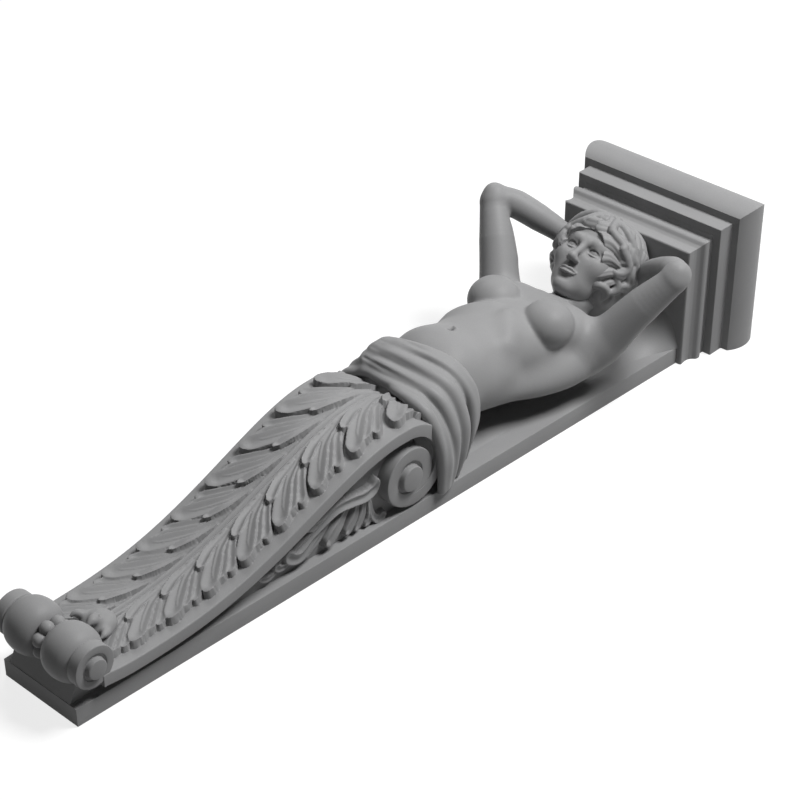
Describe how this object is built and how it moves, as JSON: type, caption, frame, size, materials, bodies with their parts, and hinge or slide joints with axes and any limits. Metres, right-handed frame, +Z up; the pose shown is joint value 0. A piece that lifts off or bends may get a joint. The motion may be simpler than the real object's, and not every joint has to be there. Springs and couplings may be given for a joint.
{
  "type": "caryatid corbel",
  "caption": "Tall tapering stone corbel for a wall: scrolled leafy console, draped female half figure with arms raised behind the head, and a moulded capital.",
  "frame": {"origin": "middle of the flat back face that lies against the wall", "axes": "+Z up towards the bearing face, +Y into the wall, front towards -Y, +X to the right seen from the front"},
  "size_m": [0.362, 0.232, 1.2172],
  "materials": {
    "stone": "fine grey stone, rubbed smooth, soft sheen"
  },
  "bodies": {
    "root": {"corbel": "stone"}
  },
  "joints": []
}
